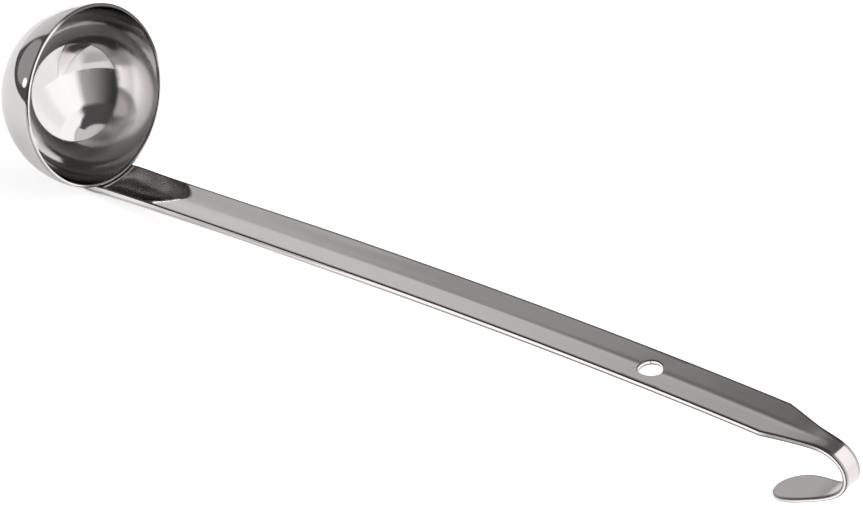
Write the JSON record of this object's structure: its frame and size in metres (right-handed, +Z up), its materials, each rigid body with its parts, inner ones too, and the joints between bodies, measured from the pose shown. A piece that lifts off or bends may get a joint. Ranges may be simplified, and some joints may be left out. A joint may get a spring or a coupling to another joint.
{
  "type": "soup ladle",
  "caption": "Polished steel measuring ladle: half-round bowl spot-welded to a long bowed strip handle with a hanging hole and a rolled hook.",
  "frame": {"origin": "middle of the bounding box, on the surface the ladle lies on", "axes": "+X along the handle from the bowl to the hook, +Z up with the ladle on its back as pictured, Y across the handle"},
  "size_m": [0.2712, 0.0508, 0.0521],
  "materials": {
    "bowl_steel": "mirror polish",
    "handle_steel": "bright polish with fine lengthwise grain",
    "weld_steel": "fused, as welded"
  },
  "bodies": {
    "root": {"bowl": "bowl_steel", "handle": "handle_steel", "spot_weld_left": "weld_steel", "spot_weld_right": "weld_steel", "spot_weld_lower": "weld_steel"}
  },
  "joints": []
}
